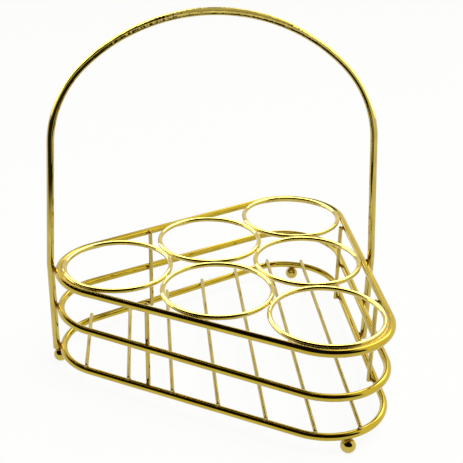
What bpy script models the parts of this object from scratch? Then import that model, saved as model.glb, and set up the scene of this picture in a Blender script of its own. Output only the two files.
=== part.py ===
# Serving cup holder: a triangular rack of gold-plated steel wire for six cups.
# Three rounded triangular loops stand one above the other, held by four struts and by the
# legs of an arch handle. Six rings lie in the top loop, and seven wires on the bottom loop
# make a floor for the cups. Every joint on the real rack is a weld between wires that lap
# side by side. Here each pair of wires lies a hair apart at its weld.
# The origin is on the table under the middle of the handle. +Z is up, and X runs along the
# handle's plane, from the pointed end of the rack to its straight end.

import math

import bmesh
import bpy
from mathutils import Vector

# Driving sizes, in metres
cup_opening = 0.0690
ring_wire = 0.0034
ring_rise = 0.0018
frame_wire = 0.0050
weld_gap = 0.0003
level_pitch = 0.0302

floor_wire = 0.0027
floor_left_inset = 0.0180
floor_right_inset = 0.0230
floor_overhang = 0.0015

strut_wire = 0.0030
front_strut_setback = 0.0431
back_strut_setback = 0.0470
end_strut_setback = 0.0190
strut_overlap = 0.0015

handle_height = 0.2507
arch_rise = 0.0893
handle_lean_in = 0.0054
knee_rise = 0.0050

foot_ball = 0.0100
foot_flat = 0.0003

# Shares, turns and counts
shoulder_share = 0.87
foot_turn = math.radians(75.5)
middle_loop_tilt = math.radians(1.0)
floor_wire_count = 7
bend_steps = 14
ring_steps = 36
ring_sides = 10
frame_sides = 12
thin_sides = 10
tip_steps = 3
arch_steps = 14
foot_steps = 20
foot_rings = 14

# Places that follow from the sizes: the six cups lie in a triangular lattice
ring_radius = (cup_opening + ring_wire) / 2
cup_pitch = cup_opening + 2 * ring_wire + weld_gap
row_pitch = cup_pitch * math.sqrt(3) / 2
left_x = -row_pitch
right_x = row_pitch

ring_to_rail = (ring_wire + frame_wire) / 2 + weld_gap
bend_radius = ring_radius + math.sqrt(ring_to_rail ** 2 - ring_rise ** 2)
rail_to_rail = frame_wire + weld_gap
rail_to_strut = (frame_wire + strut_wire) / 2 + weld_gap
leg_x = right_x + bend_radius + rail_to_rail
left_foot_x = -leg_x + rail_to_rail / 2

foot_z = foot_ball / 2 - foot_flat
bottom_z = foot_z + (foot_ball + frame_wire) / 2 + weld_gap
middle_z = bottom_z + level_pitch
top_z = middle_z + level_pitch
ring_z = top_z + ring_rise
floor_z = bottom_z + (frame_wire + floor_wire) / 2 + weld_gap
leg_end_z = foot_z + math.sqrt((foot_ball / 2 + weld_gap) ** 2 - (weld_gap / 2) ** 2)


def clear_scene():
    for old in list(bpy.data.objects):
        bpy.data.objects.remove(old, do_unlink=True)


def gold_plate(name, colour, roughness):
    """Bright gold plating over steel wire."""
    material = bpy.data.materials.new(name)
    material.use_nodes = True
    shader = material.node_tree.nodes["Principled BSDF"]
    shader.inputs["Base Color"].default_value = (*colour, 1.0)
    shader.inputs["Metallic"].default_value = 1.0
    shader.inputs["Roughness"].default_value = roughness
    return material


def place(node, data, material, location=(0.0, 0.0, 0.0), tilt=0.0):
    thing = bpy.data.objects.new(node, data)
    thing.location = location
    thing.rotation_euler = (0.0, tilt, 0.0)
    thing.data.materials.append(material)
    bpy.context.scene.collection.objects.link(thing)


def bent_wire(name, path, diameter, sides, closed=False, radius_shares=None):
    """A round wire along a path of points, with flat cut ends unless it closes on itself."""
    curve = bpy.data.curves.new(name, "CURVE")
    curve.dimensions = "3D"
    curve.bevel_depth = diameter / 2
    curve.bevel_resolution = (sides - 4) // 2
    curve.use_fill_caps = not closed
    spline = curve.splines.new("POLY")
    spline.points.add(len(path) - 1)
    for index, (point, spot) in enumerate(zip(spline.points, path)):
        point.co = (*spot, 1.0)
        if radius_shares:
            point.radius = radius_shares[index]
    spline.use_cyclic_u = closed
    spline.use_smooth = True
    return curve


def rounded_wire(name, start, end, diameter):
    """A straight wire whose two cut ends are rounded over."""
    start, end = Vector(start), Vector(end)
    along = (end - start).normalized()
    turns = [math.pi / 2 * (step + 1) / (tip_steps + 1) for step in range(tip_steps)]
    tip_depths = [diameter / 2 * (1 - math.sin(turn)) for turn in reversed(turns)]
    tip_depths = [depth - tip_depths[0] for depth in tip_depths]
    tip_shares = [math.cos(turn) for turn in reversed(turns)]
    path = [start + along * depth for depth in tip_depths]
    path += [start + along * diameter / 2, end - along * diameter / 2]
    path += [end - along * depth for depth in reversed(tip_depths)]
    shares = tip_shares + [1.0, 1.0] + tip_shares[::-1]
    return bent_wire(name, path, diameter, thin_sides, radius_shares=shares)


def arc(centre, radius, start_turn, end_turn, steps):
    """Points of an arc in the flat, from one angle to another, ends included."""
    turns = [start_turn + (end_turn - start_turn) * step / steps for step in range(steps + 1)]
    return [Vector((centre[0] + radius * math.cos(turn), centre[1] + radius * math.sin(turn)))
            for turn in turns]


def rounded_triangle():
    """The closed centre line of a loop: its bends run round the three corner cups."""
    corners = [(left_x, 0.0), (right_x, -cup_pitch), (right_x, cup_pitch)]
    middles = [math.pi, -math.pi / 3, math.pi / 3]
    outline = []
    for corner, middle in zip(corners, middles):
        outline += arc(corner, bend_radius, middle - math.pi / 3, middle + math.pi / 3, bend_steps)
    return [Vector((x, y, 0.0)) for x, y in outline]


def loop_half_breadth(x):
    """How far a loop's centre line lies from the handle's plane at a place along X."""
    bend_end = bend_radius * math.cos(math.pi / 3)
    if x < left_x - bend_end:
        return math.sqrt(bend_radius ** 2 - (x - left_x) ** 2)
    if x > right_x - bend_end:
        return cup_pitch + math.sqrt(bend_radius ** 2 - (x - right_x) ** 2)
    side_start = bend_radius * math.sin(math.pi / 3)
    return side_start + (x - left_x + bend_end) * math.tan(math.pi / 6)


def add_loops():
    """Three loops of one size. The middle one was welded a little lower at the straight end."""
    gold = gold_plate("loop_gold", (0.80, 0.58, 0.12), 0.12)
    levels = {
        "top_loop": (top_z, 0.0),
        "middle_loop": (middle_z, middle_loop_tilt),
        "bottom_loop": (bottom_z, 0.0),
    }
    for node, (height, tilt) in levels.items():
        wire = bent_wire(node, rounded_triangle(), frame_wire, frame_sides, closed=True)
        place(node, wire, gold, (0.0, 0.0, height), tilt)


def add_cup_rings():
    """Six rings inside the top loop: one at the pointed end, then two, then three."""
    gold = gold_plate("ring_gold", (0.86, 0.66, 0.18), 0.10)
    centres = {
        "cup_ring_left": (left_x, 0.0),
        "cup_ring_front_middle": (0.0, -cup_pitch / 2),
        "cup_ring_back_middle": (0.0, cup_pitch / 2),
        "cup_ring_front_right": (right_x, -cup_pitch),
        "cup_ring_middle_right": (right_x, 0.0),
        "cup_ring_back_right": (right_x, cup_pitch),
    }
    circle = [Vector((x, y, 0.0)) for x, y in arc((0.0, 0.0), ring_radius, 0.0, math.tau, ring_steps)]
    for node, (x, y) in centres.items():
        wire = bent_wire(node, circle[:-1], ring_wire, ring_sides, closed=True)
        place(node, wire, gold, (x, y, ring_z))


def add_floor_wires():
    """Parallel wires on top of the bottom loop, with their ends just past its middle."""
    gold = gold_plate("floor_gold", (0.70, 0.54, 0.16), 0.18)
    first_x = left_x - bend_radius + floor_left_inset
    last_x = right_x + bend_radius - floor_right_inset
    for index in range(floor_wire_count):
        x = first_x + (last_x - first_x) * index / (floor_wire_count - 1)
        reach = loop_half_breadth(x) + floor_overhang
        node = f"floor_wire_{index + 1}"
        wire = rounded_wire(node, (0.0, -reach, 0.0), (0.0, reach, 0.0), floor_wire)
        place(node, wire, gold, (x, 0.0, floor_z))


def strut_places():
    """Strut centres, on the inner side of the loops: one on each long side, two on the end."""
    inset = bend_radius - rail_to_strut
    along = Vector((math.cos(math.pi / 6), math.sin(math.pi / 6)))
    outward = Vector((-along.y, along.x))
    start = Vector((left_x, 0.0)) + outward * inset
    front = start + along * front_strut_setback
    back = start + along * back_strut_setback
    end = Vector((right_x + inset, cup_pitch - end_strut_setback))
    return {
        "strut_front": (front.x, -front.y),
        "strut_back": (back.x, back.y),
        "strut_end_front": (end.x, -end.y),
        "strut_end_back": (end.x, end.y),
    }


def add_struts():
    gold = gold_plate("strut_gold", (0.72, 0.55, 0.15), 0.16)
    height = top_z - bottom_z + 2 * strut_overlap
    for node, (x, y) in strut_places().items():
        wire = rounded_wire(node, (0.0, 0.0, 0.0), (0.0, 0.0, height), strut_wire)
        place(node, wire, gold, (x, y, bottom_z - strut_overlap))


def handle_half():
    """One side of the handle's centre line as (x, z) points, from its lower end to its top:
    an upright leg, a knee above the top loop, a leg that leans in, a shoulder and a crown.
    The crown's arc and the shoulder's arc meet without a corner."""
    knee = Vector((leg_x, top_z + knee_rise))
    spring_z = handle_height - frame_wire / 2 - arch_rise
    half_span = leg_x - handle_lean_in
    shoulder_radius = arch_rise * shoulder_share
    run = half_span - shoulder_radius
    rise = arch_rise - shoulder_radius
    crown_drop = (run ** 2 - rise ** 2) / (2 * rise)
    crown_radius = arch_rise + crown_drop
    meeting_turn = math.atan2(crown_drop, run)

    shoulder = Vector((run, spring_z))
    reach = shoulder - knee
    lean = math.atan2(-reach.x, reach.y) - math.asin(shoulder_radius / reach.length)
    points = [Vector((leg_x, leg_end_z)), knee]
    points += arc(shoulder, shoulder_radius, lean, meeting_turn, arch_steps)
    crown = (0.0, spring_z - crown_drop)
    points += arc(crown, crown_radius, meeting_turn, math.pi / 2, arch_steps)[1:]
    return points


def add_handle():
    gold = gold_plate("handle_gold", (0.78, 0.58, 0.14), 0.10)
    half = handle_half()
    path = [Vector((-x, 0.0, z)) for x, z in half]
    path += [Vector((x, 0.0, z)) for x, z in reversed(half[:-1])]
    place("handle", bent_wire("handle", path, frame_wire, frame_sides), gold)


def ball_foot(name):
    """A ball with a small worn flat where it stands on the table."""
    mesh = bpy.data.meshes.new(name)
    shape = bmesh.new()
    bmesh.ops.create_uvsphere(shape, u_segments=foot_steps, v_segments=foot_rings,
                              radius=foot_ball / 2)
    flat = Vector((0.0, 0.0, foot_flat - foot_ball / 2))
    cut = bmesh.ops.bisect_plane(shape, geom=shape.verts[:] + shape.edges[:] + shape.faces[:],
                                 plane_co=flat, plane_no=(0.0, 0.0, -1.0), clear_outer=True)
    rim = [edge for edge in cut["geom_cut"] if isinstance(edge, bmesh.types.BMEdge)]
    bmesh.ops.contextual_create(shape, geom=rim)
    bmesh.ops.recalc_face_normals(shape, faces=shape.faces)
    shape.to_mesh(mesh)
    shape.free()
    mesh.shade_smooth()
    mesh.set_sharp_from_angle(angle=math.radians(30))
    return mesh


def add_feet():
    """Three balls under the bottom loop's corners. The left one is also under a handle leg."""
    gold = gold_plate("foot_gold", (0.80, 0.60, 0.16), 0.10)
    reach_x = bend_radius * math.cos(foot_turn)
    reach_y = bend_radius * math.sin(foot_turn)
    places = {
        "foot_left": (left_foot_x, 0.0),
        "foot_front": (right_x + reach_x, -cup_pitch - reach_y),
        "foot_back": (right_x + reach_x, cup_pitch + reach_y),
    }
    for node, (x, y) in places.items():
        place(node, ball_foot(node), gold, (x, y, foot_z))


clear_scene()
add_loops()
add_cup_rings()
add_floor_wires()
add_struts()
add_handle()
add_feet()
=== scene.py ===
"""The look of a serving cup holder: a triangular rack of gold-plated steel wire for six cups."""

import math

import bmesh
import bpy
import numpy as np
from mathutils import Matrix, Vector, noise


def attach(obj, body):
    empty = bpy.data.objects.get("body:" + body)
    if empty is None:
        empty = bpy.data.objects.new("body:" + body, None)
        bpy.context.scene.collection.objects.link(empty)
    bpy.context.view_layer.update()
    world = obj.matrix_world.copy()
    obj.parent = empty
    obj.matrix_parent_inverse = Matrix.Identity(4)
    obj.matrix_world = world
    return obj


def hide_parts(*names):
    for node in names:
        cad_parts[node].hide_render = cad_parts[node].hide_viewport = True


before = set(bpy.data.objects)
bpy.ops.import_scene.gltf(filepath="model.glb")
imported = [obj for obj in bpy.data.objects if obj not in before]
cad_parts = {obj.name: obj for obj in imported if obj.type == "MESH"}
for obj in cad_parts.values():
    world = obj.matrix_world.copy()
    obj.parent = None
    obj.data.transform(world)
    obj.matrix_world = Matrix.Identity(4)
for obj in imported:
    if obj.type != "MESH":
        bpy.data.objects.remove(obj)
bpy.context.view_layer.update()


# The loops: three rounded triangles of 5 mm steel wire, one above the other. Each is bent on a
# former, butt-welded into a ring and plated bright gold. The middle one was set a little lower
# at the straight end. Drawing left fine lines along the wire, and bending left a soft ripple.

loop_wire = 0.0050
cup_opening = 0.0690
ring_wire = 0.0034
ring_rise = 0.0018
weld_gap = 0.0003
level_pitch = 0.0302
bottom_height = 0.0125
middle_loop_tilt = math.radians(1.0)
wire_spacing = 0.0020
loop_sides = 24
tip_rows = 6

cup_pitch = cup_opening + 2 * ring_wire + weld_gap
row_pitch = cup_pitch * math.sqrt(3) / 2
ring_radius = (cup_opening + ring_wire) / 2
ring_to_rail = (ring_wire + loop_wire) / 2 + weld_gap
bend_radius = ring_radius + math.sqrt(ring_to_rail ** 2 - ring_rise ** 2)
top_height = bottom_height + 2 * level_pitch

rightward = Vector((1.0, 0.0, 0.0))
rearward = Vector((0.0, 1.0, 0.0))
upward = Vector((0.0, 0.0, 1.0))


def arc_points(centre, radius, start_turn, end_turn, steps=60):
    """Points of an arc in the flat, ends included."""
    turns = np.linspace(start_turn, end_turn, steps + 1)
    return np.column_stack((centre[0] + radius * np.cos(turns), centre[1] + radius * np.sin(turns)))


def even_path(points, spacing, closed):
    """The same line, with its points at even steps along it."""
    line = np.vstack((points, points[:1])) if closed else np.asarray(points)
    runs = np.concatenate(([0.0], np.cumsum(np.linalg.norm(np.diff(line, axis=0), axis=1))))
    steps = max(2, round(runs[-1] / spacing))
    marks = np.linspace(0.0, runs[-1], steps + 1)
    even = np.column_stack([np.interp(marks, runs, line[:, axis]) for axis in range(3)])
    return even[:-1] if closed else even


def mark_wire(mesh, places, warmth=0.0):
    """Keeps on each point its place on the wire as it was when straight, for the marks that run
    along it, and how hot the nearest weld made it."""
    straight = mesh.attributes.new("straight_place", "FLOAT_VECTOR", "POINT")
    straight.data.foreach_set("vector", np.array(places, np.float32).ravel())
    heat = mesh.attributes.new("weld_heat", "FLOAT", "POINT")
    heat.data.foreach_set("value", np.full(len(places), warmth, np.float32))


def add_piece(name, mesh, material, replaced=None):
    """Puts a mesh on the rack with its plating, in place of the solid that it replaces."""
    mesh.materials.append(material)
    piece = bpy.data.objects.new(name, mesh)
    bpy.context.scene.collection.objects.link(piece)
    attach(piece, "root")
    if replaced:
        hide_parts(replaced)
    return piece


def wire_piece(node, material, path, diameter, sides, normal, closed=False, round_over=None):
    """A round wire along a path that lies in one plane, with that plane's normal. round_over is
    how far its cut ends are rounded."""
    path = np.asarray(path, float)
    radius = diameter / 2
    normal = np.asarray(normal, float)
    ahead = np.roll(path, -1, axis=0) if closed else np.vstack((path[1:], path[-1:]))
    behind = np.roll(path, 1, axis=0) if closed else np.vstack((path[:1], path[:-1]))
    tangent = ahead - behind
    tangent /= np.linalg.norm(tangent, axis=1)[:, None]
    run = np.concatenate(([0.0], np.cumsum(np.linalg.norm(np.diff(path, axis=0), axis=1))))
    radii = np.full(len(path), radius)
    if not closed:
        tip_turns = np.linspace(0.0, math.pi / 2, tip_rows + 1)[1:]
        depth = round_over * (1.0 - np.cos(tip_turns))
        tip_radii = radius - round_over * (1.0 - np.sin(tip_turns))
        tip_length = round_over * 1.2
        keep = (run > tip_length) & (run < run[-1] - tip_length)
        start_tip = path[0] + depth[:, None] * tangent[0]
        end_tip = path[-1] - depth[::-1, None] * tangent[-1]
        path = np.vstack((start_tip, path[keep], end_tip))
        tangent = np.vstack((np.tile(tangent[0], (tip_rows, 1)), tangent[keep],
                             np.tile(tangent[-1], (tip_rows, 1))))
        run = np.concatenate((depth, run[keep], run[-1] - depth[::-1]))
        radii = np.concatenate((tip_radii, radii[keep], tip_radii[::-1]))

    out = np.cross(tangent, normal)
    out /= np.linalg.norm(out, axis=1)[:, None]
    turns = np.arange(sides) * math.tau / sides
    up_share, out_share = np.cos(turns)[None, :, None], np.sin(turns)[None, :, None]
    spots = path[:, None] + radii[:, None, None] * (up_share * normal + out_share * out[:, None])
    rolled = np.stack((np.repeat(run[:, None], sides, 1),
                       radii[:, None] * np.cos(turns), radii[:, None] * np.sin(turns)), axis=2)
    vertices = [tuple(spot) for spot in spots.reshape(-1, 3)]
    places = [tuple(place) for place in rolled.reshape(-1, 3)]

    count = len(path)
    faces = []
    for row in range(count if closed else count - 1):
        here, beyond = row * sides, (row + 1) % count * sides
        for step in range(sides):
            across = (step + 1) % sides
            faces.append((here + step, here + across, beyond + across, beyond + step))
    if not closed:
        tip_bulge = round_over * 0.02
        for row, way in ((0, -1), (count - 1, 1)):
            vertices.append(tuple(path[row] + way * tangent[row] * tip_bulge))
            places.append((run[row], 0.0, 0.0))
            for step in range(sides):
                rim = (row * sides + step, row * sides + (step + 1) % sides)
                faces.append((len(vertices) - 1, *(rim[::-1] if way < 0 else rim)))

    mesh = bpy.data.meshes.new(node + "_plated")
    mesh.from_pydata(vertices, [], faces)
    mesh.shade_smooth()
    mark_wire(mesh, places)
    return add_piece(node + "_plated", mesh, material, replaced=node)


def add_sockets(group, way, sockets):
    """Named sockets of a shader node group, with the values they start from."""
    for label, (kind, value) in sockets.items():
        socket = group.interface.new_socket(label, in_out=way, socket_type="NodeSocket" + kind)
        if value is not None:
            socket.default_value = value


def link_up(tree, *pairs):
    """Links each pair of sockets."""
    for source, target in pairs:
        tree.links.new(source, target)


def value_between(tree, source, low, high, at_low=0.0, at_high=1.0):
    """Turns smoothly from one value to another as the source goes from low to high, and holds
    it there."""
    node = tree.nodes.new("ShaderNodeMapRange")
    node.interpolation_type = "SMOOTHSTEP"
    for socket, value in zip(("From Min", "From Max", "To Min", "To Max"),
                             (low, high, at_low, at_high)):
        node.inputs[socket].default_value = value
    tree.links.new(source, node.inputs["Value"])
    return node.outputs["Result"]


def combined(tree, how, first, second):
    """A math node of two values. Each is a socket or a number."""
    node = tree.nodes.new("ShaderNodeMath")
    node.operation = how
    for socket, value in zip(node.inputs, (first, second)):
        if isinstance(value, (int, float)):
            socket.default_value = value
        else:
            tree.links.new(value, socket)
    return node.outputs["Value"]


def laid_over(tree, under, share, over):
    """One colour laid over another where share is 1. Each is a socket or a plain colour."""
    mix = tree.nodes.new("ShaderNodeMix")
    mix.data_type = "RGBA"
    tree.links.new(share, mix.inputs["Factor"])
    for label, colour in (("A", under), ("B", over)):
        if isinstance(colour, tuple):
            mix.inputs[label].default_value = (*colour, 1.0)
        else:
            tree.links.new(colour, mix.inputs[label])
    return mix.outputs["Result"]


def wire_noise(tree, along, around, detail, seed):
    """Noise on the wire as it was when straight, with its own sizes along and around it."""
    place = tree.nodes.new("ShaderNodeAttribute")
    place.attribute_name = "straight_place"
    stretch = tree.nodes.new("ShaderNodeMapping")
    stretch.inputs["Scale"].default_value = (along, around, around)
    stretch.inputs["Location"].default_value = (seed, seed * 0.37, 0.0)
    grain = tree.nodes.new("ShaderNodeTexNoise")
    grain.inputs["Scale"].default_value = 1.0
    grain.inputs["Detail"].default_value = detail
    link_up(tree, (place.outputs["Vector"], stretch.inputs["Vector"]),
            (stretch.outputs["Vector"], grain.inputs["Vector"]))
    return grain.outputs["Fac"]


def tone_group():
    """Plating tone: brighter and deeper patches, and the straw and brown that a weld's heat
    leaves beside it."""
    group = bpy.data.node_groups.new("Plating Tone", "ShaderNodeTree")
    add_sockets(group, "INPUT", {
        "Bright Gold": ("Color", (0.6, 0.46, 0.1, 1.0)),
        "Deep Gold": ("Color", (0.5, 0.36, 0.06, 1.0)),
        "Straw Tint": ("Color", (0.42, 0.24, 0.04, 1.0)),
        "Burnt Tint": ("Color", (0.15, 0.07, 0.015, 1.0)),
    })
    add_sockets(group, "OUTPUT", {"Colour": ("Color", None), "Heat": ("Float", None)})
    tree_in = group.nodes.new("NodeGroupInput")
    tree_out = group.nodes.new("NodeGroupOutput")
    cloudy = wire_noise(group, along=60.0, around=90.0, detail=3.0, seed=0.4)
    speckle = wire_noise(group, along=900.0, around=900.0, detail=3.0, seed=2.6)
    patches = value_between(group, cloudy, 0.36, 0.64)
    ragged = value_between(group, speckle, 0.3, 0.7, at_low=-0.16, at_high=0.16)
    heat = group.nodes.new("ShaderNodeAttribute")
    heat.attribute_name = "weld_heat"
    warmth = combined(group, "ADD", heat.outputs["Fac"], ragged)
    straw_share = value_between(group, warmth, 0.22, 0.62)
    burnt_share = value_between(group, warmth, 0.55, 0.95)
    colour = tree_in.outputs["Deep Gold"]
    for share, tint in ((patches, "Bright Gold"), (straw_share, "Straw Tint"),
                        (burnt_share, "Burnt Tint")):
        colour = laid_over(group, colour, share, tree_in.outputs[tint])
    link_up(group, (colour, tree_out.inputs["Colour"]), (straw_share, tree_out.inputs["Heat"]))
    return group


def surface_group():
    """Wire surface: the ripple and the shallow dents left by bending, the fine lines left by
    drawing, small pits, and the duller worn and heated patches."""
    group = bpy.data.node_groups.new("Wire Surface", "ShaderNodeTree")
    add_sockets(group, "INPUT", {
        "Polish": ("Float", 0.1),
        "Worn Share": ("Float", 0.05),
        "Ripple Share": ("Float", 0.5),
        "Line Share": ("Float", 0.1),
        "Dent Share": ("Float", 0.0),
        "Heat": ("Float", 0.0),
    })
    add_sockets(group, "OUTPUT", {"Height": ("Float", None), "Roughness": ("Float", None)})
    tree_in = group.nodes.new("NodeGroupInput")
    tree_out = group.nodes.new("NodeGroupOutput")
    ripple = wire_noise(group, along=130.0, around=300.0, detail=1.0, seed=0.0)
    lines = wire_noise(group, along=45.0, around=3200.0, detail=2.0, seed=5.1)
    dents = wire_noise(group, along=310.0, around=360.0, detail=1.0, seed=6.4)
    pitting = wire_noise(group, along=2400.0, around=2400.0, detail=1.0, seed=8.2)
    wear = wire_noise(group, along=140.0, around=260.0, detail=4.0, seed=3.3)
    pits = value_between(group, pitting, 0.66, 0.76)
    worn = value_between(group, wear, 0.42, 0.7)
    pit_depth, line_dullness, heat_dullness = 0.01, 0.01, 0.28

    height = combined(group, "MULTIPLY", ripple, tree_in.outputs["Ripple Share"])
    for marks, share in ((lines, "Line Share"), (dents, "Dent Share")):
        raised = combined(group, "MULTIPLY", marks, tree_in.outputs[share])
        height = combined(group, "ADD", height, raised)
    height = combined(group, "SUBTRACT", height, combined(group, "MULTIPLY", pits, pit_depth))
    rough = combined(group, "MULTIPLY", worn, tree_in.outputs["Worn Share"])
    rough = combined(group, "ADD", rough, tree_in.outputs["Polish"])
    for marks, dullness in ((lines, line_dullness), (tree_in.outputs["Heat"], heat_dullness)):
        rough = combined(group, "ADD", rough, combined(group, "MULTIPLY", marks, dullness))
    link_up(group, (height, tree_out.inputs["Height"]), (rough, tree_out.inputs["Roughness"]))
    return group


plating_tone = tone_group()
wire_surface = surface_group()


def gold_plating(name, bright, deep, polish, worn, ripple, lines, lacquer=0.6):
    """Bright gold plating over drawn steel wire, under a thin clear lacquer."""
    material = bpy.data.materials.new(name)
    material.use_nodes = True
    tree = material.node_tree
    shader = tree.nodes["Principled BSDF"]
    shader.inputs["Metallic"].default_value = 1.0
    shader.inputs["Coat Weight"].default_value = lacquer
    shader.inputs["Coat Roughness"].default_value = 0.02
    tone = tree.nodes.new("ShaderNodeGroup")
    tone.node_tree = plating_tone
    tone.inputs["Bright Gold"].default_value = (*bright, 1.0)
    tone.inputs["Deep Gold"].default_value = (*deep, 1.0)
    surface = tree.nodes.new("ShaderNodeGroup")
    surface.name = "Wire Surface"
    surface.node_tree = wire_surface
    surface.inputs["Polish"].default_value = polish
    surface.inputs["Worn Share"].default_value = worn
    surface.inputs["Ripple Share"].default_value = ripple
    surface.inputs["Line Share"].default_value = lines
    bump = tree.nodes.new("ShaderNodeBump")
    bump.inputs["Strength"].default_value = 1.0
    bump.inputs["Distance"].default_value = 0.0001
    link_up(tree,
            (tone.outputs["Colour"], shader.inputs["Base Color"]),
            (tone.outputs["Heat"], surface.inputs["Heat"]),
            (surface.outputs["Roughness"], shader.inputs["Roughness"]),
            (surface.outputs["Height"], bump.inputs["Height"]),
            (bump.outputs["Normal"], shader.inputs["Normal"]))
    return material


def loop_path(height, tilt):
    """A loop's centre line. Its bends run round the three corner cups."""
    corners = (((-row_pitch, 0.0), math.pi), ((row_pitch, -cup_pitch), -math.pi / 3),
               ((row_pitch, cup_pitch), math.pi / 3))
    flat = np.vstack([arc_points(corner, bend_radius, middle - math.pi / 3, middle + math.pi / 3)
                      for corner, middle in corners])
    flat = np.column_stack((flat, np.zeros(len(flat))))
    turn = np.array(Matrix.Rotation(tilt, 3, "Y"))
    return even_path(flat, wire_spacing, closed=True) @ turn.T + (0.0, 0.0, height)


loop_plating = gold_plating("loop_gold_plating", bright=(0.52, 0.392, 0.028),
                            deep=(0.47, 0.342, 0.017), polish=0.02, worn=0.02, ripple=0.06,
                            lines=0.003, lacquer=0.4)
loops = {}
for level, (height, tilt) in {
    "bottom_loop": (bottom_height, 0.0),
    "middle_loop": (bottom_height + level_pitch, middle_loop_tilt),
    "top_loop": (top_height, 0.0),
}.items():
    loops[level] = wire_piece(level, loop_plating, loop_path(height, tilt),
                              loop_wire, loop_sides, Matrix.Rotation(tilt, 3, "Y") @ upward,
                              closed=True)


# The floor: seven straight 2.7 mm wires laid across the bottom loop, each spot-welded where it
# crosses the loop at both ends. The ends are cut just past the loop's middle and rounded by
# tumbling. The current of the spot welder left a small squeezed bead and a burnt ring.

floor_wire = 0.0027
floor_left_inset = 0.0180
floor_right_inset = 0.0230
floor_overhang = 0.0015
floor_wire_count = 7
floor_height = bottom_height + (loop_wire + floor_wire) / 2 + weld_gap
floor_sides = 16
floor_bead = (0.0007, 0.0016, 0.0014)
bead_rows = 8
bead_sides = 14
first_wire_x = -row_pitch - bend_radius + floor_left_inset
last_wire_x = row_pitch + bend_radius - floor_right_inset


def heat_up(pieces, spot, reach, peak):
    """Raises how hot a weld made the wires near it."""
    for piece in pieces:
        mesh = piece.data
        count = len(mesh.vertices)
        places = np.empty(count * 3, np.float32)
        mesh.vertices.foreach_get("co", places)
        far = np.linalg.norm(places.reshape(-1, 3) - np.asarray(spot, np.float32), axis=1)
        before = np.empty(count, np.float32)
        mesh.attributes["weld_heat"].data.foreach_get("value", before)
        after = np.maximum(before, peak * np.exp(-((far / reach) ** 2)))
        mesh.attributes["weld_heat"].data.foreach_set("value", after.astype(np.float32))


def weld_bead(beads, spot, across, along, reach):
    """One bead of squeezed metal in the cleft between two wires. across points from one wire to
    the other, along runs down the cleft, and reach gives the bead's half sizes across the gap,
    along the cleft and through it."""
    across = Vector(across).normalized()
    along = Vector(along).normalized()
    through = across.cross(along)
    beads.append((Vector(spot), (across, along, through), reach))


def close_and_smooth(mesh):
    """Joins the points that meet at the tips of a bead or ball, and turns every face outward."""
    shape = bmesh.new()
    shape.from_mesh(mesh)
    bmesh.ops.remove_doubles(shape, verts=shape.verts[:], dist=0.000001)
    bmesh.ops.recalc_face_normals(shape, faces=shape.faces[:])
    shape.to_mesh(mesh)
    shape.free()
    mesh.shade_smooth()


def lump(unit, spot):
    """How much a bead swells in one direction. No two beads are quite alike."""
    lump_depth, lump_spacing, bead_spread = 0.12, 1.7, 900.0
    return 1.0 + lump_depth * noise.noise(Vector(unit) * lump_spacing + spot * bead_spread)


def beads_piece(name, beads, material, warmth):
    """All the beads of one kind as one piece."""
    vertices, faces, places = [], [], []
    for spot, axes, reach in beads:
        first = len(vertices)
        for row in range(bead_rows + 1):
            tip_turn = math.pi * row / bead_rows
            for step in range(bead_sides):
                turn = math.tau * step / bead_sides
                unit = (math.sin(tip_turn) * math.cos(turn), math.cos(tip_turn),
                        math.sin(tip_turn) * math.sin(turn))
                swell = lump(unit, spot)
                offset = sum((axis * size * share * swell
                              for axis, size, share in zip(axes, reach, unit)), Vector())
                vertices.append(spot + offset)
                places.append(offset)
        for row in range(bead_rows):
            here, beyond = first + row * bead_sides, first + (row + 1) * bead_sides
            for step in range(bead_sides):
                across = (step + 1) % bead_sides
                faces.append((here + step, here + across, beyond + across, beyond + step))
    mesh = bpy.data.meshes.new(name)
    mesh.from_pydata(vertices, [], faces)
    mark_wire(mesh, places, warmth)
    close_and_smooth(mesh)
    add_piece(name, mesh, material)


def loop_half_breadth(x):
    """How far a loop's centre line lies from the handle's plane at a place along X."""
    bend_end = bend_radius / 2
    if x < -row_pitch - bend_end:
        return math.sqrt(bend_radius ** 2 - (x + row_pitch) ** 2)
    if x > row_pitch - bend_end:
        return cup_pitch + math.sqrt(bend_radius ** 2 - (x - row_pitch) ** 2)
    side_start = bend_radius * math.sqrt(3) / 2
    return side_start + (x + row_pitch + bend_end) * math.tan(math.pi / 6)


floor_plating = gold_plating("floor_gold_plating", bright=(0.52, 0.41, 0.09),
                             deep=(0.46, 0.35, 0.07), polish=0.06, worn=0.06, ripple=0.10,
                             lines=0.02)
weld_metal = gold_plating("weld_gold_plating", bright=(0.56, 0.42, 0.08),
                          deep=(0.42, 0.29, 0.04), polish=0.14, worn=0.16, ripple=0.60,
                          lines=0.10)
floor_beads = []
for index in range(floor_wire_count):
    x = first_wire_x + (last_wire_x - first_wire_x) * index / (floor_wire_count - 1)
    reach = loop_half_breadth(x) + floor_overhang
    ends = np.array([(x, -reach, floor_height), (x, reach, floor_height)])
    wire = wire_piece(f"floor_wire_{index + 1}", floor_plating,
                      even_path(ends, wire_spacing, closed=False), floor_wire, floor_sides,
                      upward, round_over=0.0010)
    for way in (-1, 1):
        crossing = (x, way * loop_half_breadth(x), bottom_height + loop_wire / 2 + weld_gap / 2)
        weld_bead(floor_beads, crossing, upward, rightward, floor_bead)
        heat_up([wire, loops["bottom_loop"]], crossing, reach=0.0026, peak=0.45)
beads_piece("floor_weld_beads", floor_beads, weld_metal, warmth=0.3)


# The cup rings: six rings of 3.4 mm wire that hold the cups by their rims. They lie inside the
# top loop, a little higher than it, in rows of one, two and three. Each is welded to the rings
# that it touches and to the loop: a corner ring all along the bend, the others at one spot.

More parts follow.
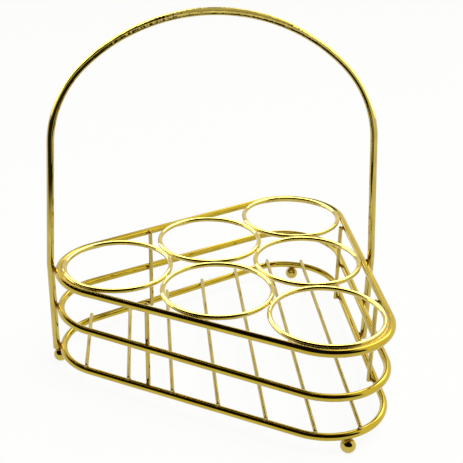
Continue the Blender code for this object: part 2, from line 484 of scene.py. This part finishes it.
ring_sides = 20
ring_height = top_height + ring_rise
ring_bead = (0.0008, 0.0030, 0.0011)
seam_bead = (0.0008, 0.0040, 0.0008)
touch_bead = (0.0007, 0.0026, 0.0008)
seam_step = 2
tack_step = 60
ring_plating = gold_plating("ring_gold_plating", bright=(0.56, 0.435, 0.058),
                            deep=(0.50, 0.375, 0.038), polish=0.03, worn=0.03, ripple=0.06,
                            lines=0.004, lacquer=1.0)
ring_centres = {
    "cup_ring_left": (-row_pitch, 0.0),
    "cup_ring_front_middle": (0.0, -cup_pitch / 2),
    "cup_ring_back_middle": (0.0, cup_pitch / 2),
    "cup_ring_front_right": (row_pitch, -cup_pitch),
    "cup_ring_middle_right": (row_pitch, 0.0),
    "cup_ring_back_right": (row_pitch, cup_pitch),
}
rings = {}
for node, (x, y) in ring_centres.items():
    circle = arc_points((x, y), ring_radius, 0.0, math.tau, steps=240)[:-1]
    circle = np.column_stack((circle, np.full(len(circle), ring_height)))
    rings[node] = wire_piece(node, ring_plating,
                             even_path(circle, wire_spacing, closed=True), ring_wire, ring_sides,
                             upward, closed=True)

ring_beads = []
names = list(ring_centres)
for place, first in enumerate(names):
    for second in names[place + 1:]:
        start, end = (Vector((*ring_centres[name], ring_height)) for name in (first, second))
        if (end - start).length < cup_pitch * 1.01:
            spot = (start + end) / 2
            across = (end - start).normalized()
            weld_bead(ring_beads, spot, across, across.cross(upward), ring_bead)
            heat_up([rings[first], rings[second]], spot, reach=0.0030, peak=0.30)

# Where each ring touches the loop, in degrees round the ring.
loop_touches = {
    "cup_ring_left": range(120, 241, seam_step),
    "cup_ring_front_middle": (-120,),
    "cup_ring_back_middle": (120,),
    "cup_ring_front_right": range(-120, 1, seam_step),
    "cup_ring_middle_right": (0,),
    "cup_ring_back_right": range(0, 121, seam_step),
}
for node, turns in loop_touches.items():
    for degrees in turns:
        turn = math.radians(degrees)
        out = Vector((math.cos(turn), math.sin(turn), 0.0))
        centre = Vector((*ring_centres[node], ring_height))
        across = (out * (bend_radius - ring_radius) - Vector((0.0, 0.0, ring_rise))).normalized()
        spot = centre + out * ring_radius + across * (ring_wire + weld_gap) / 2
        bead = seam_bead if len(turns) > 1 else touch_bead
        weld_bead(ring_beads, spot, across, out.cross(upward), bead)
        if degrees % tack_step == 0:
            heat_up([rings[node], loops["top_loop"]], spot, reach=0.0028, peak=0.45)
beads_piece("ring_weld_beads", ring_beads, ring_plating, warmth=0.15)


# The struts: four upright 3 mm wires inside the loops, one on each long side and two on the
# straight end. Each is welded to all three loops, and holds them apart.

strut_wire = 0.0030
front_strut_setback = 0.0431
back_strut_setback = 0.0470
end_strut_setback = 0.0190
strut_overlap = 0.0015
strut_sides = 16
strut_bead = (0.0007, 0.0018, 0.0014)
rail_to_strut = (loop_wire + strut_wire) / 2 + weld_gap
strut_inset = bend_radius - rail_to_strut
side_way = Vector((math.cos(math.pi / 6), math.sin(math.pi / 6), 0.0))
side_out = Vector((-side_way.y, side_way.x, 0.0))
side_start = Vector((-row_pitch, 0.0, 0.0)) + side_out * strut_inset
front_place = side_start + side_way * front_strut_setback
back_place = side_start + side_way * back_strut_setback
end_place = Vector((row_pitch + strut_inset, cup_pitch - end_strut_setback, 0.0))


def rail_height(level, x):
    """How high a loop's centre line is at a place along X."""
    if level == "middle_loop":
        return bottom_height + level_pitch - x * math.tan(middle_loop_tilt)
    return top_height if level == "top_loop" else bottom_height


# Each strut's place, its way out to the loops, and how hot its welds were.
struts = {
    "strut_front": ((front_place.x, -front_place.y), Vector((side_out.x, -side_out.y, 0.0)), 0.55),
    "strut_back": ((back_place.x, back_place.y), side_out, 0.40),
    "strut_end_front": ((end_place.x, -end_place.y), rightward, 0.66),
    "strut_end_back": ((end_place.x, end_place.y), rightward, 0.66),
}
strut_plating = gold_plating("strut_gold_plating", bright=(0.50, 0.38, 0.065),
                             deep=(0.44, 0.32, 0.047), polish=0.06, worn=0.06, ripple=0.10,
                             lines=0.02)
strut_beads = []
for node, ((x, y), out, peak) in struts.items():
    ends = np.array([(x, y, bottom_height - strut_overlap), (x, y, top_height + strut_overlap)])
    wire = wire_piece(node, strut_plating,
                      even_path(ends, wire_spacing, closed=False), strut_wire, strut_sides,
                      rightward, round_over=0.0012)
    for level in loops:
        spot = Vector((x, y, rail_height(level, x))) + out * (strut_wire + weld_gap) / 2
        weld_bead(strut_beads, spot, out, upward, strut_bead)
        heat_up([wire, loops[level]], spot, reach=0.0024, peak=peak)
beads_piece("strut_weld_beads", strut_beads, weld_metal, warmth=0.4)


# The handle: one 5 mm wire bent into an arch over the rack. Its legs run down outside the loops
# and are welded to each of them. Bending over a roller left a ripple and shallow dents in the
# crown, where hands have also worn the plating a little duller.

handle_height = 0.2507
arch_rise = 0.0893
handle_lean_in = 0.0054
knee_rise = 0.0050
shoulder_share = 0.87
rail_to_rail = loop_wire + weld_gap
leg_x = row_pitch + bend_radius + rail_to_rail
foot_ball = 0.0100
foot_flat = 0.0003
foot_height = foot_ball / 2 - foot_flat
leg_end_height = foot_height + math.sqrt((foot_ball / 2 + weld_gap) ** 2 - (weld_gap / 2) ** 2)
handle_bead = (0.0009, 0.0022, 0.0020)


def handle_path():
    """The handle's centre line: two upright legs, a knee above the top loop, a leg that leans
    in, a shoulder and a crown on each side."""
    knee = Vector((leg_x, top_height + knee_rise))
    spring_height = handle_height - loop_wire / 2 - arch_rise
    shoulder_radius = arch_rise * shoulder_share
    run = leg_x - handle_lean_in - shoulder_radius
    rise = arch_rise - shoulder_radius
    crown_drop = (run ** 2 - rise ** 2) / (2 * rise)
    meeting_turn = math.atan2(crown_drop, run)
    shoulder = Vector((run, spring_height))
    reach = shoulder - knee
    lean = math.atan2(-reach.x, reach.y) - math.asin(shoulder_radius / reach.length)
    half = np.vstack((
        [(leg_x, leg_end_height), tuple(knee)],
        arc_points(shoulder, shoulder_radius, lean, meeting_turn),
        arc_points((0.0, spring_height - crown_drop), arch_rise + crown_drop,
                   meeting_turn, math.pi / 2)[1:]))
    whole = np.vstack((half * (-1.0, 1.0), half[-2::-1]))
    whole = np.column_stack((whole[:, 0], np.zeros(len(whole)), whole[:, 1]))
    return even_path(whole, wire_spacing, closed=False)


handle_plating = gold_plating("handle_gold_plating", bright=(0.53, 0.41, 0.06),
                              deep=(0.47, 0.35, 0.04), polish=0.02, worn=0.03, ripple=0.25,
                              lines=0.004, lacquer=1.0)
handle_line = handle_path()
handle = wire_piece("handle", handle_plating, handle_line, loop_wire, loop_sides,
                    rearward, round_over=0.0006)

# How far along the wire the crown's marks reach from its middle, fading from the first distance
# to the second, and how strong they are there. Elsewhere the wire keeps its own value.
crown_marks = {
    "Ripple Share": (0.07, 0.12, 2.2),
    "Dent Share": (0.06, 0.11, 2.6),
    "Worn Share": (0.07, 0.10, 0.16),
}
half_length = float(np.linalg.norm(np.diff(handle_line, axis=0), axis=1).sum()) / 2
tree = handle_plating.node_tree
place = tree.nodes.new("ShaderNodeAttribute")
place.attribute_name = "straight_place"
parts = tree.nodes.new("ShaderNodeSeparateXYZ")
tree.links.new(place.outputs["Vector"], parts.inputs["Vector"])
from_crown = combined(tree, "SUBTRACT", parts.outputs["X"], half_length)
from_crown = combined(tree, "ABSOLUTE", from_crown, 0.0)
surface = tree.nodes["Wire Surface"]
for label, (near, far, at_crown) in crown_marks.items():
    socket = surface.inputs[label]
    share = value_between(tree, from_crown, near, far, at_crown, socket.default_value)
    tree.links.new(share, socket)

handle_beads = []
for way in (-1, 1):
    for level in loops:
        height = rail_height(level, way * leg_x)
        spot = (way * (leg_x - rail_to_rail / 2), 0.0, height)
        weld_bead(handle_beads, spot, rightward, upward, handle_bead)
        heat_up([handle, loops[level]], spot, reach=0.0040, peak=0.64)
beads_piece("handle_weld_beads", handle_beads, weld_metal, warmth=0.55)


# The feet: three 10 mm steel balls welded under the bottom loop, one at each corner, plated with
# the rack and worn flat by a hair where they stand. The left one also carries a handle leg.

foot_turn = math.radians(75.5)
foot_top = foot_height + foot_ball / 2
left_foot_x = -leg_x + rail_to_rail / 2
corner_foot_x = row_pitch + bend_radius * math.cos(foot_turn)
corner_foot_y = cup_pitch + bend_radius * math.sin(foot_turn)
foot_rows = 28
foot_sides = 36
leg_bead = (0.0007, 0.0016, 0.0016)
leg_bead_sink = 0.0001
foot_bead = (0.0008, 0.0019, 0.0017)
foot_plating = gold_plating("foot_gold_plating", bright=(0.56, 0.43, 0.06),
                            deep=(0.49, 0.36, 0.04), polish=0.05, worn=0.08, ripple=0.10,
                            lines=0.01)


def foot_piece(node, x, y):
    """A turned ball with a small worn flat underneath."""
    radius = foot_ball / 2
    floor_turn = math.acos(foot_height / radius)
    vertices = []
    for row in range(foot_rows + 1):
        turn = (math.pi - floor_turn) * row / foot_rows
        height = foot_height + radius * math.cos(turn)
        for step in range(foot_sides):
            way = math.tau * step / foot_sides
            vertices.append((x + radius * math.sin(turn) * math.cos(way),
                             y + radius * math.sin(turn) * math.sin(way), max(height, 0.0)))
    faces = []
    for row in range(foot_rows):
        here, beyond = row * foot_sides, (row + 1) * foot_sides
        for step in range(foot_sides):
            across = (step + 1) % foot_sides
            faces.append((here + step, beyond + step, beyond + across, here + across))
    faces.append([foot_rows * foot_sides + step for step in reversed(range(foot_sides))])
    mesh = bpy.data.meshes.new(node + "_plated")
    mesh.from_pydata(vertices, [], faces)
    mark_wire(mesh, vertices)
    close_and_smooth(mesh)
    mesh.set_sharp_from_angle(angle=math.radians(30))
    return add_piece(node + "_plated", mesh, foot_plating, replaced=node)


foot_places = {
    "foot_left": (left_foot_x, 0.0),
    "foot_front": (corner_foot_x, -corner_foot_y),
    "foot_back": (corner_foot_x, corner_foot_y),
}
foot_beads = []
feet = {}
for node, (x, y) in foot_places.items():
    foot = foot_piece(node, x, y)
    feet[node] = foot
    if node == "foot_left":
        for way, rod in ((1, loops["bottom_loop"]), (-1, handle)):
            spot = Vector((x + way * rail_to_rail / 4, 0.0, foot_top - leg_bead_sink))
            weld_bead(foot_beads, spot, upward, rearward, leg_bead)
            heat_up([foot, rod], spot, reach=0.0030, peak=0.8)
    else:
        spot = Vector((x, y, foot_top + weld_gap / 2))
        weld_bead(foot_beads, spot, upward, rearward, foot_bead)
        heat_up([foot, loops["bottom_loop"]], spot, reach=0.0034, peak=0.7)
beads_piece("foot_weld_beads", foot_beads, weld_metal, warmth=0.5)


# The table top: a plain sheet of pale paper that runs far back. It takes the rack's shadow, and
# the camera and the bright wires see it nearly white.

floor_reach = 9.0
paper_glow = 0.93
floor_mesh = bpy.data.meshes.new("table_top")
floor_mesh.from_pydata([(-floor_reach, -floor_reach, 0.0), (floor_reach, -floor_reach, 0.0),
                        (floor_reach, floor_reach, 0.0), (-floor_reach, floor_reach, 0.0)],
                       [], [(0, 1, 2, 3)])
table_top = bpy.data.objects.new("table_top", floor_mesh)
bpy.context.scene.collection.objects.link(table_top)

paper = bpy.data.materials.new("white_paper")
paper.use_nodes = True
tree = paper.node_tree
shader = tree.nodes["Principled BSDF"]
shader.inputs["Base Color"].default_value = (0.86, 0.86, 0.86, 1.0)
shader.inputs["Roughness"].default_value = 0.8
glow = tree.nodes.new("ShaderNodeEmission")
glow.inputs["Color"].default_value = (1.0, 1.0, 1.0, 1.0)
glow.inputs["Strength"].default_value = 1.0
rays = tree.nodes.new("ShaderNodeLightPath")
seen = combined(tree, "MAXIMUM", rays.outputs["Is Camera Ray"], rays.outputs["Is Glossy Ray"])
seen = combined(tree, "MAXIMUM", seen, rays.outputs["Is Transmission Ray"])
share = combined(tree, "MULTIPLY", seen, paper_glow)
blend = tree.nodes.new("ShaderNodeMixShader")
link_up(tree, (share, blend.inputs["Fac"]), (shader.outputs["BSDF"], blend.inputs[1]),
        (glow.outputs["Emission"], blend.inputs[2]),
        (blend.outputs["Shader"], tree.nodes["Material Output"].inputs["Surface"]))
table_top.data.materials.append(paper)


# The room round the table: white walls, a warm one on the right, one bright gap at the far end,
# and a dark ceiling, camera end and left strip. The wires mirror it as light and dark lines.

white_wall = (0.97, 0.97, 0.97)
warm_wall = (1.15, 1.05, 0.70)
gap_light = (3.5, 3.45, 3.2)
dark_paint = (0.010, 0.006, 0.003)

world = bpy.data.worlds.new("studio")
world.use_nodes = True
bpy.context.scene.world = world
tree = world.node_tree
background = tree.nodes["Background"]
direction = tree.nodes.new("ShaderNodeTexCoord").outputs["Generated"]


def along_room(x, y, z):
    """How far a direction in the room points along this one."""
    node = tree.nodes.new("ShaderNodeVectorMath")
    node.operation = "DOT_PRODUCT"
    node.inputs[1].default_value = (x, y, z)
    tree.links.new(direction, node.inputs[0])
    return node.outputs["Value"]


def both(first, second):
    """Where two shares hold together."""
    return combined(tree, "MULTIPLY", first, second)


right_way = along_room(math.cos(math.pi / 6), math.sin(math.pi / 6), 0.0)
left_way = along_room(-math.cos(math.pi / 6), math.sin(math.pi / 6), 0.0)
raised = along_room(0.0, 0.0, 1.0)
far_way = along_room(0.0, 1.0, 0.0)
gap_edge = along_room(-math.cos(math.radians(8.0)), math.sin(math.radians(8.0)), 0.0)
camera_way = along_room(0.0, -1.0, 0.5)
strip_way = along_room(0.0, -0.264, 1.0)

right_side = both(value_between(tree, right_way, 0.38, 0.43),
                  value_between(tree, raised, 0.04, 0.12))
bright_gap = both(value_between(tree, far_way, 0.40, 0.54),
                  both(value_between(tree, raised, 0.50, 0.58),
                       value_between(tree, raised, 0.76, 0.82, at_low=1.0, at_high=0.0)))
ceiling = value_between(tree, raised, 0.88, 0.92)
low_ceiling = both(value_between(tree, gap_edge, -0.03, 0.03),
                   value_between(tree, raised, 0.52, 0.57))
camera_end = both(value_between(tree, camera_way, 0.64, 0.74),
                  value_between(tree, raised, 0.08, 0.20))
left_strip = both(value_between(tree, left_way, 0.17, 0.23),
                  value_between(tree, strip_way, 0.30, 0.37))
room = laid_over(tree, white_wall, right_side, warm_wall)
room = laid_over(tree, room, bright_gap, gap_light)
for dark_part in (ceiling, low_ceiling, camera_end, left_strip):
    room = laid_over(tree, room, dark_part, dark_paint)
tree.links.new(room, background.inputs["Color"])
background.inputs["Strength"].default_value = 1.0


# The lamps: a soft key lamp over the table, which the wires don't mirror, and soft boxes that
# each shine on one group of wires alone. These give the bright lines on the rings, the handle,
# the loops' rear bend and the back foot.

lamp = bpy.data.lights.new("soft_key", "AREA")
lamp.shape = "DISK"
lamp.size = 1.4
lamp.energy = 36.0
soft_key = bpy.data.objects.new("soft_key", lamp)
soft_key.location = Vector((0.5, -0.3, 2.2))
soft_key.rotation_euler = (-soft_key.location).to_track_quat("-Z", "Y").to_euler()
soft_key.visible_glossy = False
bpy.context.scene.collection.objects.link(soft_key)


def softbox(name, spot, aim, size, brightness, pieces):
    """A soft box that shines on some pieces only. A brightness of 1 mirrors as white."""
    lamp = bpy.data.lights.new(name, "AREA")
    lamp.shape = "RECTANGLE"
    lamp.size, lamp.size_y = size
    lamp.energy = 4.0 * lamp.size * lamp.size_y * brightness
    box = bpy.data.objects.new(name, lamp)
    box.location = spot
    box.rotation_euler = (Vector(aim) - Vector(spot)).to_track_quat("-Z", "Y").to_euler()
    box.visible_camera = False
    bpy.context.scene.collection.objects.link(box)
    lit = bpy.data.collections.new(name + "_receivers")
    for piece in pieces:
        lit.objects.link(piece)
    box.light_linking.receiver_collection = lit


softbox("ring_softbox", spot=(0.0, 1.125, 1.3), aim=(0.0, 1.125, 0.0), size=(2.4, 1.75),
        brightness=4.2, pieces=rings.values())
softbox("ring_side_softbox", spot=(-1.6, 0.9, 0.45), aim=(0.0, 0.0, 0.08), size=(1.6, 0.9),
        brightness=2.5, pieces=rings.values())

crown_spot = (0.0, 0.0, 0.25)
softbox("left_softbox", spot=(-1.14, 0.461, 1.291), aim=crown_spot, size=(2.9, 2.15),
        brightness=2.6, pieces=[handle])
softbox("left_low_softbox", spot=(-1.23, 0.43, 1.12), aim=crown_spot, size=(3.0, 2.3),
        brightness=1.0, pieces=[handle])
softbox("right_softbox", spot=(1.46, 0.13, 0.88), aim=crown_spot, size=(3.9, 1.64),
        brightness=2.6, pieces=[handle])
softbox("right_low_softbox", spot=(1.52, 0.13, 0.74), aim=crown_spot, size=(3.9, 1.70),
        brightness=1.0, pieces=[handle])
softbox("crown_softbox", spot=(0.45, -0.3, 1.9), aim=(0.45, -0.3, 0.0), size=(1.9, 3.0),
        brightness=0.55, pieces=[handle])
softbox("front_softbox", spot=(0.5, -2.5, 1.5), aim=(0.5, 0.0, 1.5), size=(1.9, 1.8),
        brightness=0.40, pieces=[handle])
softbox("strip_softbox", spot=(0.0, -1.7, 0.31), aim=(0.0, 0.0, 0.31), size=(0.7, 0.30),
        brightness=0.55, pieces=[handle])

back_bend = [*loops.values(), feet["foot_back"]]
softbox("bend_front_softbox", spot=(0.02, -0.02, 0.2375), aim=(0.02, 1.0, 0.2375),
        size=(0.22, 0.185), brightness=0.8, pieces=back_bend)
softbox("bend_rear_softbox", spot=(0.05, 0.135, 0.06), aim=(0.05, -1.0, 0.06),
        size=(0.09, 0.06), brightness=0.45, pieces=back_bend)
softbox("foot_softbox", spot=(0.06, -0.02, 0.05), aim=(0.06, 1.0, 0.05), size=(0.12, 0.10),
        brightness=0.45, pieces=[feet["foot_back"]])


# The black card: a sheet of black paper low over the front of the rack, which only the wires
# above it mirror. It puts a dark line down the middle of the handle. Its outline is cut to the
# shape of that line, and its left rear part fades out.

card_outline = [(-1.60, -3.20), (-0.14, -3.20), (-0.04, -1.30), (-0.02, -0.60), (-0.003, -0.30),
                (-0.003, -0.11), (0.013, -0.11), (0.013, -0.17), (0.04, -0.24), (0.04, -0.30),
                (0.095, -0.30), (0.085, -0.15), (0.06, -0.10), (0.045, -0.025),
                (-0.035, -0.025), (-0.22, 0.0), (-1.60, 0.0)]
card_height = 0.085
card_mesh = bpy.data.meshes.new("black_card")
card_mesh.from_pydata([(x, y, card_height) for x, y in card_outline], [],
                      [range(len(card_outline))])
black_card = bpy.data.objects.new("black_card", card_mesh)
bpy.context.scene.collection.objects.link(black_card)
for rays_seen in ("visible_camera", "visible_diffuse", "visible_shadow"):
    setattr(black_card, rays_seen, False)

black_paper = bpy.data.materials.new("black_paper")
black_paper.use_nodes = True
tree = black_paper.node_tree
shader = tree.nodes["Principled BSDF"]
shader.inputs["Base Color"].default_value = (0.01, 0.008, 0.004, 1.0)
shader.inputs["Roughness"].default_value = 0.9
clear = tree.nodes.new("ShaderNodeBsdfTransparent")
side_seen = tree.nodes.new("ShaderNodeNewGeometry")
blend = tree.nodes.new("ShaderNodeMixShader")
parts = tree.nodes.new("ShaderNodeSeparateXYZ")
tree.links.new(tree.nodes.new("ShaderNodeTexCoord").outputs["Object"], parts.inputs["Vector"])
rear_share = value_between(tree, parts.outputs["Y"], -0.13, -0.02)
left_share = value_between(tree, parts.outputs["X"], -0.06, -0.03, at_low=1.0, at_high=0.0)
faded = combined(tree, "MULTIPLY", rear_share, left_share)
see_through = combined(tree, "MAXIMUM", faded, side_seen.outputs["Backfacing"])
link_up(tree, (see_through, blend.inputs["Fac"]),
        (shader.outputs["BSDF"], blend.inputs[1]), (clear.outputs["BSDF"], blend.inputs[2]),
        (blend.outputs["Shader"], tree.nodes["Material Output"].inputs["Surface"]))
card_mesh.materials.append(black_paper)


# The camera: stands half a metre in front of the rack, a little to its left, and looks down on
# it at the angle of the photo.

camera_spot = (-0.0431, -0.5486, 0.3560)
view_turn = math.radians(-5.7601)
view_drop = math.radians(25.0149)
view_roll = math.radians(1.2049)
camera = bpy.data.objects.new("camera", bpy.data.cameras.new("camera"))
camera.data.sensor_width = 36.0
camera.data.lens = 69.005
camera.data.clip_start = 0.02
camera.data.clip_end = 40.0
camera.matrix_world = (Matrix.Translation(camera_spot)
                       @ Matrix.Rotation(view_turn, 4, "Z")
                       @ Matrix.Rotation(math.pi / 2 - view_drop, 4, "X")
                       @ Matrix.Rotation(view_roll, 4, "Z"))
bpy.context.scene.collection.objects.link(camera)
bpy.context.scene.camera = camera
bpy.context.scene.view_settings.view_transform = "Standard"
